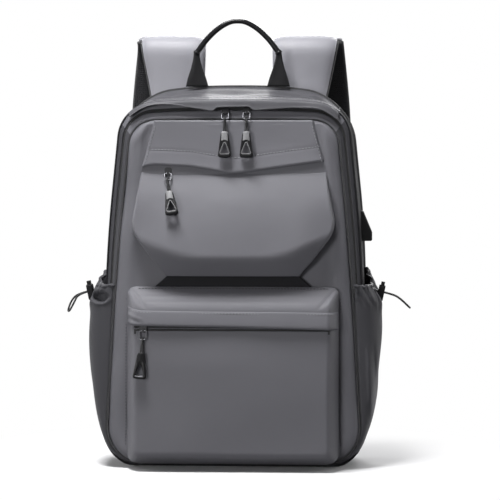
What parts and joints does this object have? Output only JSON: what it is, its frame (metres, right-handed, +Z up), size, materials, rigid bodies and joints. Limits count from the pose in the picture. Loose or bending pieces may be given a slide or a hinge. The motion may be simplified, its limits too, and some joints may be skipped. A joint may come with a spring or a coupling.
{
  "type": "laptop backpack",
  "caption": "Rectangular coated-fabric laptop backpack with faceted front pockets, zips with pulls, side pockets with cord locks, padded straps, a loop handle and a side USB port.",
  "frame": {"origin": "on the flat base, in the bag's mid-plane, below the main compartment", "axes": "+Z up, the front with its pockets faces -Y, +X is the viewer's right from the front, where the USB port is"},
  "size_m": [0.3914, 0.1975, 0.5107],
  "materials": {
    "coated_fabric": "smooth coated, soft sheen",
    "piping_fabric": "woven",
    "back_fabric": "woven",
    "air_mesh": "open mesh",
    "sleeve_foam": "brushed",
    "base_board": "matte",
    "zip_tape": "woven",
    "slider_metal": "satin",
    "ring_metal": "satin",
    "pull_cord": "braided",
    "grip_rubber": "matte moulded",
    "lock_plastic": "moulded",
    "spring_steel": "wire",
    "elastic_cord": "braided",
    "webbing": "ribbed webbing",
    "handle_rubber": "semi-gloss",
    "port_rubber": "moulded",
    "port_metal": "stamped",
    "port_plastic": "moulded"
  },
  "bodies": {
    "bag": {"front_panel": "coated_fabric", "main_gusset": "coated_fabric", "base_panel": "coated_fabric", "rain_flap": "coated_fabric", "yoke_flap": "coated_fabric", "upper_pocket": "coated_fabric", "lower_pocket": "coated_fabric", "lower_pocket_flap": "coated_fabric", "side_pocket_left": "coated_fabric", "side_pocket_right": "coated_fabric", "strap_roots": "coated_fabric", "front_piping": "piping_fabric", "rear_piping": "piping_fabric", "back_panel": "back_fabric", "strap_patch": "back_fabric", "back_pad_left": "air_mesh", "back_pad_right": "air_mesh", "laptop_sleeve": "sleeve_foam", "base_board": "base_board", "main_zip": "zip_tape", "upper_zip": "zip_tape", "lower_zip": "zip_tape", "pocket_cord_left": "elastic_cord", "pocket_cord_right": "elastic_cord", "webbing_anchors": "webbing", "usb_housing": "port_rubber", "usb_shell": "port_metal", "usb_tongue": "port_plastic"},
    "main_left_slider": {"main_left_slider": "slider_metal"},
    "main_left_pull": {"main_left_pull_ring": "ring_metal", "main_left_pull_cord": "pull_cord", "main_left_pull_grip": "grip_rubber"},
    "main_right_slider": {"main_right_slider": "slider_metal"},
    "main_right_pull": {"main_right_pull_ring": "ring_metal", "main_right_pull_cord": "pull_cord", "main_right_pull_grip": "grip_rubber"},
    "upper_slider": {"upper_slider": "slider_metal"},
    "upper_pull": {"upper_pull_ring": "ring_metal", "upper_pull_cord": "pull_cord", "upper_pull_grip": "grip_rubber"},
    "lower_slider": {"lower_slider": "slider_metal"},
    "lower_pull": {"lower_pull_ring": "ring_metal", "lower_pull_cord": "pull_cord", "lower_pull_grip": "grip_rubber"},
    "strap_left": {"strap_pad_left": "coated_fabric", "strap_mesh_left": "air_mesh", "ladder_lock_left": "lock_plastic", "strap_webbing_left": "webbing"},
    "cord_lock_left": {"cord_lock_left": "lock_plastic", "lock_spring_left": "spring_steel"},
    "lock_button_left": {"lock_button_left": "lock_plastic"},
    "strap_right": {"strap_pad_right": "coated_fabric", "strap_mesh_right": "air_mesh", "ladder_lock_right": "lock_plastic", "strap_webbing_right": "webbing"},
    "cord_lock_right": {"cord_lock_right": "lock_plastic", "lock_spring_right": "spring_steel"},
    "lock_button_right": {"lock_button_right": "lock_plastic"},
    "carry_handle": {"handle_grip": "handle_rubber", "handle_tabs": "coated_fabric"}
  },
  "joints": [
    {"name": "main_left_zip_slide", "type": "slide", "parent": "bag", "child": "main_left_slider", "axis": [1, 0, 0], "range_m": [-0.075, 0]},
    {"name": "main_left_pull_swing", "type": "hinge", "parent": "main_left_slider", "child": "main_left_pull", "pos_m": [-0.0095, -0.02279, 0.39691], "axis": [-1, 0, 0], "range_deg": [0, 90]},
    {"name": "main_right_zip_slide", "type": "slide", "parent": "bag", "child": "main_right_slider", "axis": [1, 0, 0], "range_m": [0, 0.07]},
    {"name": "main_right_pull_swing", "type": "hinge", "parent": "main_right_slider", "child": "main_right_pull", "pos_m": [0.0145, -0.02279, 0.39691], "axis": [-1, 0, 0], "range_deg": [0, 90]},
    {"name": "upper_zip_slide", "type": "slide", "parent": "bag", "child": "upper_slider", "axis": [1, 0, 0], "range_m": [0, 0.15]},
    {"name": "upper_pull_swing", "type": "hinge", "parent": "upper_slider", "child": "upper_pull", "pos_m": [-0.073, -0.02956, 0.32873], "axis": [-1, 0, 0], "range_deg": [0, 90]},
    {"name": "lower_zip_slide", "type": "slide", "parent": "bag", "child": "lower_slider", "axis": [1, 0, 0], "range_m": [0, 0.19]},
    {"name": "lower_pull_swing", "type": "hinge", "parent": "lower_slider", "child": "lower_pull", "pos_m": [-0.098, -0.06384, 0.15552], "axis": [-1, 0, 0], "range_deg": [0, 110]},
    {"name": "strap_left_swing", "type": "hinge", "parent": "bag", "child": "strap_left", "pos_m": [-0.085, 0.1, 0.489], "axis": [1, 0, 0], "range_deg": [0, 15]},
    {"name": "cord_lock_left_slide", "type": "slide", "parent": "bag", "child": "cord_lock_left", "axis": [-0.9781, 0, -0.2079], "range_m": [0, 0.005]},
    {"name": "lock_button_left_press", "type": "slide", "parent": "cord_lock_left", "child": "lock_button_left", "axis": [0.2079, 0, -0.9781], "range_m": [0, 0.003], "stiffness_N_per_m": 300, "springref_m": -0.002},
    {"name": "strap_right_swing", "type": "hinge", "parent": "bag", "child": "strap_right", "pos_m": [0.085, 0.1, 0.489], "axis": [1, 0, 0], "range_deg": [0, 15]},
    {"name": "cord_lock_right_slide", "type": "slide", "parent": "bag", "child": "cord_lock_right", "axis": [0.9781, 0, -0.2079], "range_m": [0, 0.005]},
    {"name": "lock_button_right_press", "type": "slide", "parent": "cord_lock_right", "child": "lock_button_right", "axis": [-0.2079, 0, -0.9781], "range_m": [0, 0.003], "stiffness_N_per_m": 300, "springref_m": -0.002},
    {"name": "carry_handle_fold", "type": "hinge", "parent": "bag", "child": "carry_handle", "pos_m": [0, 0.054, 0.4308], "axis": [1, 0, 0], "range_deg": [0, 90]}
  ]
}
